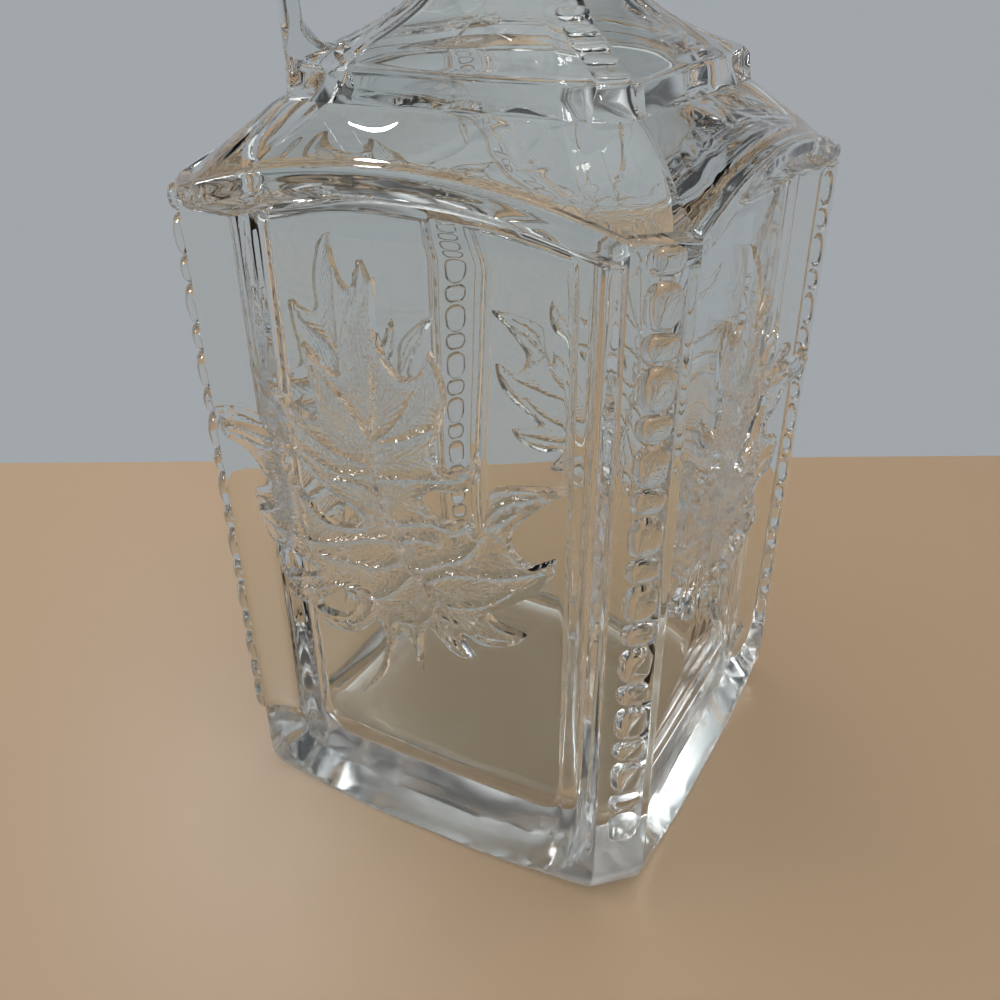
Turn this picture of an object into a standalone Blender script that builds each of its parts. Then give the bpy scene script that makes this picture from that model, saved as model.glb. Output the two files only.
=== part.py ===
"""A square pressed-glass decanter: recessed arched faces with leaf reliefs, corner posts
with columns of bosses, a hipped shoulder, a flared neck and a loop handle at one corner.

Metres, +Z up. The origin is on the decanter's axis, on the surface that it stands on.
The -Y face lies between the handle's corner (-X, -Y) and the corner (+X, -Y).
"""
import math

import bmesh
import bpy
from mathutils import Matrix, Vector
from mathutils.geometry import delaunay_2d_cdt

MM = 0.001
DIAGONAL = math.sqrt(0.5)

# Body: a square with cut corners, a little narrower at the base than at the shoulder
HALF_WIDTH = 52.5 * MM
CORNER_CUT = 8.2 * MM
SHOULDER_HEIGHT = 140.5 * MM
BASE_SHRINK = 0.946
ARCH_RISE = 6.5 * MM
EDGE_ROLL = 1.8 * MM
TOE_CUT = 18.0 * MM

# Recessed faces
RECESS_DEPTH = 6.6 * MM
RECESS_EDGE = 0.5 * MM
RECESS_FLOOR_BOTTOM = 4.6 * MM
RECESS_SAG = 4.2 * MM
RECESS_LEDGE_DROP = 4.2 * MM
RECESS_FLOOR_TOP = 142.0 * MM
RECESS_ARCH_DROP = 6.4 * MM
RECESS_ARCH_AT = 29.0 * MM
RECESS_CEILING_RUN = 3.4 * MM
PANEL_STEP = 0.8 * MM
PANEL_MARGIN = 4.6 * MM

# Corner posts
BOSS_WIDTH = 6.0 * MM
BOSS_RELIEF = 1.3 * MM
BOSS_PITCH = 13.65 * MM
BOSS_PAIRS = 9
BOSS_TOP = 139.4 * MM
TALL_SHARE = 0.60
SHORT_SHARE = 0.36

# Collar, neck and lip
COLLAR_HALF = 35.4 * MM
COLLAR_CUT = 5.5 * MM
COLLAR_BOTTOM = 153.8 * MM
COLLAR_TOP = 159.8 * MM
NECK_RADIUS = 15.2 * MM
LIP_RADIUS = 17.4 * MM
LIP_TOP = 222.0 * MM

# Hollow
BASE_THICKNESS = 8.6 * MM
WALL = 3.6 * MM
BORE_RADIUS = 10.6 * MM

# Handle
STRAP_THICKNESS = 4.2 * MM
STRAP_WIDTH = 9.0 * MM

# Leaf relief
LEAF_EDGE = 0.7 * MM
LEAF_RIDGE = 1.7 * MM
LEAF_ROOT = 1.9 * MM

EMBED = 1.0 * MM
RING_STEPS = 8


def taper(x, y, z):
    """Narrows the body towards the base; nothing above the shoulder changes."""
    share = min(z / SHOULDER_HEIGHT, 1.0)
    scale = BASE_SHRINK + (1.0 - BASE_SHRINK) * share
    return Vector((x * scale, y * scale, z))


def mesh_object(name, vertices, faces):
    """An object from points and faces, with its faces turned outwards."""
    mesh = bpy.data.meshes.new(name)
    mesh.from_pydata([tuple(v) for v in vertices], [], faces)
    shape = bmesh.new()
    shape.from_mesh(mesh)
    bmesh.ops.recalc_face_normals(shape, faces=shape.faces)
    shape.to_mesh(mesh)
    shape.free()
    made = bpy.data.objects.new(name, mesh)
    bpy.context.scene.collection.objects.link(made)
    return made


def combine(body, tool, operation):
    """Joins a tool to the body or cuts it away, and removes the tool."""
    step = body.modifiers.new(tool.name, "BOOLEAN")
    step.operation = operation
    step.solver = "EXACT"
    step.object = tool
    graph = bpy.context.evaluated_depsgraph_get()
    result = bpy.data.meshes.new_from_object(body.evaluated_get(graph))
    body.modifiers.remove(step)
    body.data = result
    bpy.data.objects.remove(tool, do_unlink=True)


def square_ring(half, cut, height, arch=0.0, round_radius=0.0, roundness=0.0, bow=0.0):
    """A ring of points: a square with cut corners, blended towards a circle.

    The heights of the points on a side follow an arch that is highest in the middle,
    and the ends of a side are drawn in by the bow, which rounds the corners.
    """
    reach = half - cut
    ring = []
    for quarter in range(4):
        turn = Matrix.Rotation(quarter * math.pi / 2, 3, "Z")
        for step in range(RING_STEPS + 1):
            x = reach * (2.0 * step / RING_STEPS - 1.0)
            lift = arch * (1.0 - (x / reach) ** 2)
            flat = Vector((x, bow * (x / reach) ** 6 - half, 0.0))
            circle = flat.normalized() * round_radius
            point = turn @ flat.lerp(circle, roundness)
            ring.append(taper(point.x, point.y, height + lift))
    return ring


def loft(name, rings):
    """One closed skin through rings of the same count, with flat ends."""
    count = len(rings[0])
    vertices = [point for ring in rings for point in ring]
    faces = []
    for level in range(len(rings) - 1):
        low, high = level * count, (level + 1) * count
        for index in range(count):
            after = (index + 1) % count
            faces.append((low + index, low + after, high + after, high + index))
    faces.append(tuple(range(count)))
    last = (len(rings) - 1) * count
    faces.append(tuple(last + index for index in range(count)))
    return mesh_object(name, vertices, faces)


def outer_rings():
    """The outside from the base up to the lip."""
    shoulder = SHOULDER_HEIGHT
    toe = TOE_CUT - CORNER_CUT
    rings = [
        square_ring(HALF_WIDTH - EDGE_ROLL, TOE_CUT, 0.0, bow=1.6 * MM),
        square_ring(HALF_WIDTH - 0.4 * EDGE_ROLL, CORNER_CUT + 0.72 * toe, 0.4 * EDGE_ROLL, bow=1.3 * MM),
        square_ring(HALF_WIDTH, CORNER_CUT + 0.36 * toe, 1.4 * EDGE_ROLL, bow=0.8 * MM),
        square_ring(HALF_WIDTH, CORNER_CUT + 0.12 * toe, 2.8 * EDGE_ROLL, bow=0.3 * MM),
        square_ring(HALF_WIDTH, CORNER_CUT, 4.6 * EDGE_ROLL),
        square_ring(HALF_WIDTH, CORNER_CUT, shoulder - EDGE_ROLL, ARCH_RISE),
        square_ring(HALF_WIDTH - 0.35 * EDGE_ROLL, CORNER_CUT, shoulder - 0.3 * EDGE_ROLL, ARCH_RISE),
        square_ring(HALF_WIDTH - EDGE_ROLL, CORNER_CUT, shoulder + 0.2 * EDGE_ROLL, ARCH_RISE),
        square_ring(COLLAR_HALF + 0.8 * MM, COLLAR_CUT, COLLAR_BOTTOM - 0.6 * MM),
        square_ring(COLLAR_HALF, COLLAR_CUT, COLLAR_BOTTOM),
        square_ring(COLLAR_HALF - 0.8 * MM, COLLAR_CUT - 1.2 * MM, COLLAR_TOP - 1.1 * MM),
        square_ring(COLLAR_HALF - 1.9 * MM, COLLAR_CUT - 0.8 * MM, COLLAR_TOP),
    ]
    # The flare: height, half width across the flats, cut, roundness
    flare = (
        (161.4, 30.2, 4.4, 0.0), (163.8, 26.0, 4.6, 0.06), (166.6, 22.2, 4.4, 0.16),
        (170.0, 18.9, 4.2, 0.32), (174.5, 16.6, 3.8, 0.55), (181.0, 15.3, 3.6, 0.8),
        (190.0, 14.9, 3.6, 0.95),
    )
    for height, half, cut, roundness in flare:
        rings.append(square_ring(half * MM, cut * MM, height * MM, 0.0, half * MM * 1.04, roundness))
    lip = (
        (LIP_TOP - 11.0 * MM, NECK_RADIUS), (LIP_TOP - 7.5 * MM, LIP_RADIUS - 0.9 * MM),
        (LIP_TOP - 5.0 * MM, LIP_RADIUS), (LIP_TOP - 2.2 * MM, LIP_RADIUS),
        (LIP_TOP - 0.5 * MM, LIP_RADIUS - 1.0 * MM), (LIP_TOP, LIP_RADIUS - 2.4 * MM),
    )
    for height, radius in lip:
        rings.append(square_ring(radius, 0.3 * radius, height, 0.0, radius, 1.0))
    return rings


def inner_rings():
    """The inside from the mouth down to the cavity's floor."""
    rings = []
    mouth = (
        (LIP_TOP, BORE_RADIUS + 2.0 * MM), (LIP_TOP - 1.6 * MM, BORE_RADIUS + 0.7 * MM),
        (LIP_TOP - 5.0 * MM, BORE_RADIUS), (185.0 * MM, BORE_RADIUS),
    )
    for height, radius in mouth:
        rings.append(square_ring(radius, 0.3 * radius, height, 0.0, radius, 1.0))
    half = HALF_WIDTH - RECESS_DEPTH - PANEL_STEP - WALL
    cavity = (
        (175.5, 12.0, 3.4, 0.75), (169.5, 14.4, 3.8, 0.5), (164.5, 18.6, 5.0, 0.3),
        (160.0, 24.2, 6.0, 0.15), (155.5, 28.6, 7.0, 0.1), (149.5, 31.5, 8.5, 0.05),
    )
    for height, width, cut, roundness in cavity:
        rings.append(square_ring(width * MM, cut * MM, height * MM, 0.0, width * MM * 1.04, roundness))
    rings.append(square_ring(half - 0.6 * MM, 9.5 * MM, 138.6 * MM, 1.4 * MM, half, 0.04))
    rings.append(square_ring(half, 9.8 * MM, 134.6 * MM, 1.2 * MM, half, 0.04))
    rings.append(square_ring(half, 9.8 * MM, BASE_THICKNESS + 8.5 * MM, 0.0, half, 0.04))
    rings.append(square_ring(half - 1.3 * MM, 10.2 * MM, BASE_THICKNESS + 3.2 * MM, 0.0, half, 0.05))
    rings.append(square_ring(half - 5.0 * MM, 11.0 * MM, BASE_THICKNESS, 0.0, half - 5.0 * MM, 0.06))
    return rings


def recess_outline(reach, bottom, top):
    """A face's outline in width and height: straight sides, arched top, sagging bottom."""
    steps = 12
    points = []
    for step in range(steps + 1):
        x = reach * (2.0 * step / steps - 1.0)
        points.append((x, bottom + RECESS_SAG * (x / reach) ** 2 + 3.0 * MM * (x / reach) ** 12))
    for step in range(steps + 1):
        x = reach * (1.0 - 2.0 * step / steps)
        points.append((x, top - RECESS_ARCH_DROP * (x / RECESS_ARCH_AT) ** 2))
    return points


def face_cutter(name, turn, inner, outer, inner_depth, outer_depth):
    """A block between two outlines, deeper in the glass at the inner one, on one face."""
    count = len(inner)
    vertices = []
    for outline, depth in ((inner, inner_depth), (outer, outer_depth)):
        for x, z in outline:
            point = turn @ Vector((x, -(HALF_WIDTH - depth), 0.0))
            vertices.append(taper(point.x, point.y, z))
    faces = [tuple(range(count)), tuple(range(count, 2 * count))]
    for index in range(count):
        after = (index + 1) % count
        faces.append((index, after, count + after, count + index))
    return mesh_object(name, vertices, faces)


def cut_faces(body):
    """Sinks the four faces between the posts, and the panel inside each of them."""
    beyond = 2.0 * MM
    slope = beyond / RECESS_DEPTH
    inner_reach = HALF_WIDTH - CORNER_CUT - RECESS_DEPTH - RECESS_EDGE
    outer_reach = inner_reach + (1.0 + slope) * RECESS_DEPTH
    ledge = RECESS_LEDGE_DROP * (1.0 + slope)
    ceiling = RECESS_CEILING_RUN * (1.0 + slope)
    inner = recess_outline(inner_reach, RECESS_FLOOR_BOTTOM, RECESS_FLOOR_TOP)
    outer = []
    for x, z in inner:
        drop = -ledge if z < 0.5 * SHOULDER_HEIGHT else ceiling
        outer.append((x * outer_reach / inner_reach, z + drop))
    panel_reach = inner_reach - PANEL_MARGIN
    panel = recess_outline(panel_reach, RECESS_FLOOR_BOTTOM + 1.2 * MM, RECESS_FLOOR_TOP - 1.6 * MM)
    for quarter in range(4):
        turn = Matrix.Rotation(quarter * math.pi / 2, 3, "Z")
        combine(body, face_cutter("recess", turn, inner, outer, RECESS_DEPTH, -beyond), "DIFFERENCE")
        panel_cut = face_cutter("panel", turn, panel, panel, RECESS_DEPTH + PANEL_STEP, RECESS_DEPTH - beyond)
        combine(body, panel_cut, "DIFFERENCE")


def boss(top, height):
    """One boss on the +X, -Y post: a hexagon with sloping sides and a ridge down its middle."""
    half = BOSS_WIDTH / 2
    outline = (
        (-0.86 * half, top), (0.86 * half, top), (half, top - 0.25 * height),
        (0.62 * half, top - height), (-0.62 * half, top - height), (-half, top - 0.25 * height),
    )
    middle = top - 0.5 * height
    shrink = 0.66
    plane = (2.0 * HALF_WIDTH - CORNER_CUT) * DIAGONAL
    vertices = []
    for level in range(3):
        for along, height_at in outline:
            if level == 2:
                along = along * shrink
                height_at = middle + (height_at - middle) * (0.5 + 0.5 * shrink)
            out = plane + (-EMBED, 0.35 * BOSS_RELIEF, BOSS_RELIEF)[level]
            x = (out + along) * DIAGONAL
            y = -(out - along) * DIAGONAL
            vertices.append(taper(x, y, height_at))
    ends = (top - 0.22 * height, top - 0.8 * height)
    for height_at in ends:
        out = (plane + 1.35 * BOSS_RELIEF) * DIAGONAL
        vertices.append(taper(out, -out, height_at))
    faces = [(0, 1, 2, 3, 4, 5)]
    for level in (0, 6):
        for index in range(6):
            after = (index + 1) % 6
            faces.append((level + index, level + after, level + 6 + after, level + 6 + index))
    high, low = 18, 19
    faces += [(12, 13, high), (13, 14, low, high), (14, 15, low), (15, 16, low),
              (16, 17, low), (17, 12, high, low)]
    return vertices, faces


def boss_columns():
    """The columns of tall and short bosses on the four posts."""
    vertices, faces = [], []
    for quarter in range(4):
        turn = Matrix.Rotation(quarter * math.pi / 2, 3, "Z")
        for pair in range(BOSS_PAIRS):
            top = BOSS_TOP - pair * BOSS_PITCH
            rows = ((top, SHORT_SHARE * BOSS_PITCH),
                    (top - (1.0 - TALL_SHARE) * BOSS_PITCH, (TALL_SHARE - 0.04) * BOSS_PITCH))
            for row_top, height in rows:
                points, sides = boss(row_top, height)
                base = len(vertices)
                vertices += [turn @ point for point in points]
                faces += [tuple(base + index for index in side) for side in sides]
    return mesh_object("bosses", vertices, faces)


# The leaf's lobes, clockwise from its top: tip and following bay, from the middle of the face
LEAF_LOBES = (
    (-6.7, 126.7, -0.8, 108.9), (4.6, 115.0, 5.2, 92.6), (14.2, 97.6, 5.0, 85.6),
    (13.6, 85.4, 11.4, 77.4), (32.4, 93.4, 21.4, 80.4), (30.2, 77.6, 19.6, 64.6),
    (21.6, 55.0, 13.2, 57.2), (12.4, 49.4, 3.0, 55.6), (-6.0, 46.0, -12.6, 53.0),
    (-27.8, 43.4, -24.2, 56.6), (-35.0, 56.4, -28.4, 66.0), (-40.6, 71.6, -31.0, 80.0),
    (-43.6, 92.0, -28.6, 92.0), (-34.0, 104.6, -20.6, 99.6), (-23.8, 112.4, -15.4, 105.6),
)
# The midrib, from the stalk to the top lobe
LEAF_MIDRIB = ((3.4, 56.0), (1.4, 66.0), (-3.0, 77.0), (-6.8, 89.0), (-8.0, 103.0), (-7.4, 115.0))


def leaf_outline():
    """The leaf's edge: each side of a lobe is bowed out between its tip and its bay."""
    points = []
    count = len(LEAF_LOBES)
    for index, (tip_x, tip_z, bay_x, bay_z) in enumerate(LEAF_LOBES):
        before_x, before_z = LEAF_LOBES[index - 1][2:]
        tip = Vector((tip_x, tip_z))
        for start, end in ((Vector((before_x, before_z)), tip), (tip, Vector((bay_x, bay_z)))):
            along = end - start
            bow = Vector((-along.y, along.x)) * 0.1
            points.append(start)
            points.append(start + 0.5 * along + bow)
    assert len(points) == 4 * count
    return points


def leaf_top():
    """The leaf as a flat net of triangles, with the share of the ridge's height at each point."""
    outline = leaf_outline()
    points = list(outline)
    edges = [(index, (index + 1) % len(outline)) for index in range(len(outline))]
    shares = {}
    midrib = [Vector(place) for place in LEAF_MIDRIB]
    first = len(points)
    points += midrib
    edges += [(first + index, first + index + 1) for index in range(len(midrib) - 1)]
    for tip_x, tip_z, _, _ in LEAF_LOBES:
        tip = Vector((tip_x, tip_z))
        root = min(range(len(midrib)), key=lambda index: (midrib[index] - tip).length + 0.4 * abs(midrib[index].y - tip.y + 12.0))
        points.append(midrib[root].lerp(tip, 0.62))
        edges.append((first + root, len(points) - 1))
    flat, _, triangles, origins, _, _ = delaunay_2d_cdt(points, edges, [], 1, 1e-4)
    heights = []
    for sources in origins:
        on_edge = any(source < len(outline) for source in sources)
        on_midrib = any(first <= source < first + len(midrib) for source in sources)
        heights.append(0.0 if on_edge else (1.0 if on_midrib else 0.6))
    return flat, triangles, heights


def wrap(x, z, out, side):
    """Lays a point of the leaf on the face: over the recess's floor, then up its side wall."""
    floor_reach = HALF_WIDTH - CORNER_CUT - RECESS_DEPTH - RECESS_EDGE
    floor = HALF_WIDTH - RECESS_DEPTH
    past = abs(x) - floor_reach
    sign = -1.0 if x < 0.0 else 1.0
    if past <= 0.0:
        blend = max(0.0, 1.0 + past / (4.0 * MM))
        place_x, place_y = x, -floor
        lean = 0.5 * blend * math.radians(45)
    else:
        place_x = sign * (floor_reach + past * DIAGONAL)
        place_y = -(floor + past * DIAGONAL)
        blend = min(1.0, past / (4.0 * MM))
        lean = (0.5 + 0.5 * blend) * math.radians(45)
    place_x -= sign * out * math.sin(lean)
    place_y -= out * math.cos(lean)
    return taper(side * place_x, place_y, z)


def leaves():
    """The four leaves. Neighbouring ones are mirror images, so two lean to the handle's corner."""
    flat, triangles, heights = leaf_top()
    floor_reach = HALF_WIDTH - CORNER_CUT - RECESS_DEPTH - RECESS_EDGE
    sheet = bmesh.new()
    level = sheet.verts.layers.float.new("share")
    corners = [sheet.verts.new((point.x * MM, 0.0, point.y * MM)) for point in flat]
    for corner, share in zip(corners, heights):
        corner[level] = share
    for triangle in triangles:
        sheet.faces.new([corners[index] for index in triangle])
    bmesh.ops.bisect_plane(sheet, geom=sheet.verts[:] + sheet.edges[:] + sheet.faces[:], dist=1e-6,
                           plane_co=(-floor_reach, 0.0, 0.0), plane_no=(1.0, 0.0, 0.0))
    bmesh.ops.triangulate(sheet, faces=sheet.faces)
    sheet.verts.index_update()
    top = [(vertex.co.x, vertex.co.z, LEAF_EDGE + vertex[level] * (LEAF_RIDGE - LEAF_EDGE))
           for vertex in sheet.verts]
    triangles = [tuple(vertex.index for vertex in face.verts) for face in sheet.faces]
    rim = [tuple(vertex.index for vertex in edge.verts) for edge in sheet.edges if edge.is_boundary]
    sheet.free()
    count = len(top)
    vertices, faces = [], []
    for quarter in range(4):
        side = 1.0 if quarter % 2 == 0 else -1.0
        turn = Matrix.Rotation(quarter * math.pi / 2, 3, "Z")
        base = len(vertices)
        for out_of in (lambda out: out, lambda out: -LEAF_ROOT):
            vertices += [turn @ wrap(x, z, out_of(out), side) for x, z, out in top]
        faces += [tuple(base + index for index in triangle) for triangle in triangles]
        faces += [tuple(base + count + index for index in reversed(triangle)) for triangle in triangles]
        faces += [(base + a, base + b, base + count + b, base + count + a) for a, b in rim]
    return mesh_object("leaves", vertices, faces)


def strap_route(share):
    """The handle's centre line in its own upright plane: distance from the axis and height."""
    stops = ((43.2, 153.9), (44.3, 163.6), (44.9, 174.0), (43.4, 186.0), (36.6, 196.6),
             (26.0, 200.6), (12.9, 200.0))
    place = share * (len(stops) - 1)
    index = min(int(place), len(stops) - 2)
    t = place - index
    before, start, end, after = (Vector(stops[max(0, min(len(stops) - 1, index + k))]) for k in (-1, 0, 1, 2))
    point = 0.5 * (2.0 * start + (end - before) * t + (2.0 * before - 5.0 * start + 4.0 * end - after) * t ** 2
                   + (3.0 * start - before - 3.0 * end + after) * t ** 3)
    return point * MM


def handle():
    """The loop handle in the upright plane through the axis and the -X, -Y corner."""
    rings, sides, steps = [], 12, 22
    for step in range(steps + 1):
        share = step / steps
        centre = strap_route(share)
        ahead = strap_route(min(1.0, share + 0.01)) - strap_route(max(0.0, share - 0.01))
        ahead.normalize()
        across = Vector((ahead.y, -ahead.x))
        root = max(0.0, 1.0 - 5.0 * share) ** 2
        end = max(0.0, 5.0 * share - 4.0) ** 2
        half_thick = 0.5 * STRAP_THICKNESS * (1.0 + 0.5 * root + 0.1 * end)
        half_wide = 0.5 * STRAP_WIDTH * (1.0 + 0.15 * root - 0.1 * end)
        ring = []
        for index in range(sides):
            angle = 2.0 * math.pi * index / sides
            thick = half_thick * math.copysign(abs(math.cos(angle)) ** 0.8, math.cos(angle))
            wide = half_wide * math.copysign(abs(math.sin(angle)) ** 0.8, math.sin(angle))
            distance = centre.x + across.x * thick
            height = centre.y + across.y * thick
            ring.append(Vector((-(distance + wide) * DIAGONAL, -(distance - wide) * DIAGONAL, height)))
        rings.append(ring)
    return loft("handle", rings)


def glass(name, colour, roughness):
    """Clear glass."""
    material = bpy.data.materials.new(name)
    material.use_nodes = True
    shader = material.node_tree.nodes["Principled BSDF"]
    shader.inputs["Base Color"].default_value = (*colour, 1.0)
    shader.inputs["Roughness"].default_value = roughness
    shader.inputs["Metallic"].default_value = 0.0
    shader.inputs["Transmission Weight"].default_value = 1.0
    shader.inputs["IOR"].default_value = 1.5
    return material


def decanter():
    """The whole decanter as one body of glass."""
    body = loft("decanter", outer_rings() + inner_rings())
    cut_faces(body)
    combine(body, boss_columns(), "UNION")
    combine(body, leaves(), "UNION")
    combine(body, handle(), "UNION")
    shape = bmesh.new()
    shape.from_mesh(body.data)
    bmesh.ops.remove_doubles(shape, verts=shape.verts, dist=2e-6)
    bmesh.ops.dissolve_degenerate(shape, edges=shape.edges, dist=2e-6)
    bmesh.ops.triangulate(shape, faces=shape.faces)
    shape.to_mesh(body.data)
    shape.free()
    body.data.shade_smooth()
    body.data.set_sharp_from_angle(angle=math.radians(28))
    body.data.materials.clear()
    body.data.materials.append(glass("clear_glass", (0.93, 0.96, 0.95), 0.02))
    return body


for left_over in list(bpy.data.objects):
    bpy.data.objects.remove(left_over, do_unlink=True)
made = decanter()
print("triangles", len(made.data.polygons))
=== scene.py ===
# %% [markdown]
# A square glass decanter, made in a press mould. The upright corner posts carry a column of
# bosses, each face is a sunk panel with a leaf in relief, and a narrow neck rises from a
# hipped shoulder. Glass is seen through, so the piece has to be one closed skin: light bends
# at its outside and again at its inside. The whole bottle is therefore lofted as one body,
# and everything that stands out from it is joined with Boolean unions.

# %% Load the frame
import math

import bmesh
import bpy
import numpy as np
from mathutils import Matrix, Vector
from mathutils.geometry import delaunay_2d_cdt


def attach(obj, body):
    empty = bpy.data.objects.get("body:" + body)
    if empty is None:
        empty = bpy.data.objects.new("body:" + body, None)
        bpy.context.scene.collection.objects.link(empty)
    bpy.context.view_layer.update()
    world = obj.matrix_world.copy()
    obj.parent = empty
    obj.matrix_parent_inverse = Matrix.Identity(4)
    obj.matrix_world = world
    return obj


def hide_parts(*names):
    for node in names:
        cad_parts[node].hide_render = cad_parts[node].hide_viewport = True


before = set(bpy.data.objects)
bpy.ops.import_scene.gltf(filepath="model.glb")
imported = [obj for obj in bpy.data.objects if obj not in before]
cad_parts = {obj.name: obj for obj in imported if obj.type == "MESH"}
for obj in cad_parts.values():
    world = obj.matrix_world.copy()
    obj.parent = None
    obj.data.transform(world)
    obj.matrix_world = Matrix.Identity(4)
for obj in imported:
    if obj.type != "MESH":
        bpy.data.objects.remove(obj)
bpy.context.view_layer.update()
MM = 0.001

# %% [markdown]
# The camera comes first, so that every later render can be set beside the photograph. Its
# place and lens were fitted to the bottle's own edges: a square plan seen from above the
# shoulder, 25 cm away, looking down by 28 degrees.

# %% Camera
CAMERA_PLACE = Vector((101.8, -196.9, 180.4)) * MM
CAMERA_YAW, CAMERA_PITCH, CAMERA_ROLL = -28.848, 28.086, -0.421
CAMERA_LENS = 38.39


def aim_camera():
    """A camera at the fitted place, with the fitted turn."""
    yaw, pitch, roll = (math.radians(a) for a in (CAMERA_YAW, CAMERA_PITCH, CAMERA_ROLL))
    ahead = Vector((math.sin(yaw) * math.cos(pitch), math.cos(yaw) * math.cos(pitch), -math.sin(pitch)))
    level = Vector((math.cos(yaw), -math.sin(yaw), 0.0))
    upright = level.cross(ahead)
    right = math.cos(roll) * level + math.sin(roll) * upright
    up = math.cos(roll) * upright - math.sin(roll) * level
    data = bpy.data.cameras.new("camera")
    data.sensor_width = 36.0
    data.lens = CAMERA_LENS
    camera = bpy.data.objects.new("camera", data)
    turn = Matrix((right, up, -ahead)).transposed().to_4x4()
    camera.matrix_world = Matrix.Translation(CAMERA_PLACE) @ turn
    bpy.context.scene.collection.objects.link(camera)
    bpy.context.scene.camera = camera


aim_camera()
print("camera at", tuple(round(v, 4) for v in CAMERA_PLACE))

# %% [markdown]
# All heights and widths below are in millimetres, in straight space: the body is drawn with
# upright posts, and one function narrows it towards the base at the end.

# %% Sizes
HALF = 52.5
CUT = 8.2
REACH = HALF - CUT
SHOULDER = 140.5
SHRINK = 0.946
ARCH = 6.5
DEPTH = 6.6
ROOT2 = math.sqrt(0.5)


print("body", 2 * HALF, "mm across, shoulder at", SHOULDER, "mm")


def taper(points):
    """Narrows the body below the shoulder and turns millimetres into metres."""
    points = np.array(points, dtype=float)
    share = np.minimum(points[..., 2] / SHOULDER, 1.0)
    scale = SHRINK + (1.0 - SHRINK) * share
    points[..., 0] *= scale
    points[..., 1] *= scale
    return points * MM


def smooth_min(a, b, radius):
    """The smaller of two values, with the corner between them rounded."""
    mix = np.clip(0.5 + 0.5 * (b - a) / radius, 0.0, 1.0)
    return b + (a - b) * mix - radius * mix * (1.0 - mix)


def smooth_step(low, high, value):
    """A soft step from 0 at low to 1 at high."""
    t = np.clip((value - low) / (high - low), 0.0, 1.0)
    return t * t * (3.0 - 2.0 * t)


# %% [markdown]
# A pressed panel isn't cut, it is a dip in the mould. So each face is a height field: a
# function gives the depth below the posts' outer plane, as the smallest of four slopes (two
# sides, arched top, sagging bottom) and the panel's own depth, with rounded corners between.

# %% Panel depth
RIM_DROP = 3.3
CEILING_RUN = 3.4
LEDGE_RUN = 4.2
PANEL_STEP = 0.8
RIB_WIDTH = 4.6


def rim_height(x):
    """The top of the arch over a face."""
    return SHOULDER + ARCH * (1.0 - np.minimum(np.abs(x) / REACH, 1.0) ** 2)


def rim_under(x):
    """The lower edge of the arch's rounded band."""
    near = np.abs(x) / REACH
    return rim_height(x) - RIM_DROP - 2.6 * near ** 2 * (1.0 - near ** 6)


def ledge_edge(x):
    """The outer edge of the sloping ledge below a panel."""
    near = np.abs(x) / 37.2
    return 0.6 + 4.2 * near ** 2 + 2.4 * np.minimum(near, 1.1) ** 12


def panel_depth(x, z):
    """How far a face lies behind the plane of the posts' outer edges."""
    side = REACH - 0.3 - np.abs(x)
    top = (rim_under(x) - z) * DEPTH / CEILING_RUN
    bottom = (z - ledge_edge(x)) * DEPTH / LEDGE_RUN
    inside = smooth_min(smooth_min(side, top, 1.6), bottom, 2.4)
    floor = smooth_min(inside, DEPTH, 1.2)
    margin = inside - DEPTH - RIB_WIDTH
    step = PANEL_STEP * smooth_step(-0.7, 0.7, margin)
    sunk = floor + step
    return np.where(sunk > 0.0, sunk ** 2 / (sunk + 0.5), 0.0)


print("panel lies", round(float(panel_depth(0.0, 70.0)), 2), "mm behind the posts")


# %% [markdown]
# The skin is lofted through rings of the same count. Columns of points crowd together where
# the surface bends (post edge, wall foot, rib) and spread out on the flat panel.

# %% Ring helpers
HALF_COLUMNS = (0.0, 5.0, 10.0, 14.5, 18.5, 22.0, 25.0, 27.5, 29.5, 31.0, 31.9, 32.5, 33.1, 33.8, 35.0, 36.2,
                36.9, 37.4, 37.9, 38.5, 39.4, 40.6, 41.8, 42.8, 43.4, 43.8, 44.1, REACH)
FACE_X = np.array([-x for x in reversed(HALF_COLUMNS[1:])] + list(HALF_COLUMNS))
POST_STEPS = (0.06, 0.2, 0.5, 0.8, 0.94)
PER_SIDE = len(FACE_X) + len(POST_STEPS)
# Cosine and sine of the four quarter turns
TURNS = ((1, 0), (0, 1), (-1, 0), (0, -1))


def quarter_turns(side):
    """Four copies of one side's points, each a quarter turn further."""
    turned = []
    x, y, z = side.T
    for cos, sin in TURNS:
        turned.append(np.stack((cos * x - sin * y, sin * x + cos * y, z), axis=1))
    return np.concatenate(turned)


def ring(half, cut, heights, depth=None, roundness=0.0, radius=0.0, bow=0.0, soften=0.0):
    """A ring: four sides and four cut corners; heights is a function of the place on a side."""
    share = FACE_X / REACH
    x = share * (half - cut)
    y = np.full_like(x, -half) + bow * np.abs(share) ** 2.6
    z = heights(FACE_X)
    if depth is not None:
        y = y + depth(FACE_X, z)
    side = np.stack((x, y, z), axis=1)
    last = side[-1]
    next_first = np.array((-side[0][1], side[0][0], side[0][2]))
    corner = [last + (next_first - last) * step for step in POST_STEPS]
    corner = np.array(corner)
    if soften:
        middle = 4.0 * np.array(POST_STEPS) * (1.0 - np.array(POST_STEPS))
        corner[:, 0] += soften * middle * ROOT2
        corner[:, 1] -= soften * middle * ROOT2
    side = np.concatenate((side, corner))
    if roundness:
        flat = side[:, :2] / np.linalg.norm(side[:, :2], axis=1)[:, None] * radius
        side[:, :2] += (flat - side[:, :2]) * roundness
    return quarter_turns(side)


def level(z):
    """A ring at one height."""
    return lambda x: np.full_like(x, z)


print("one ring has", 4 * PER_SIDE, "points")

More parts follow.
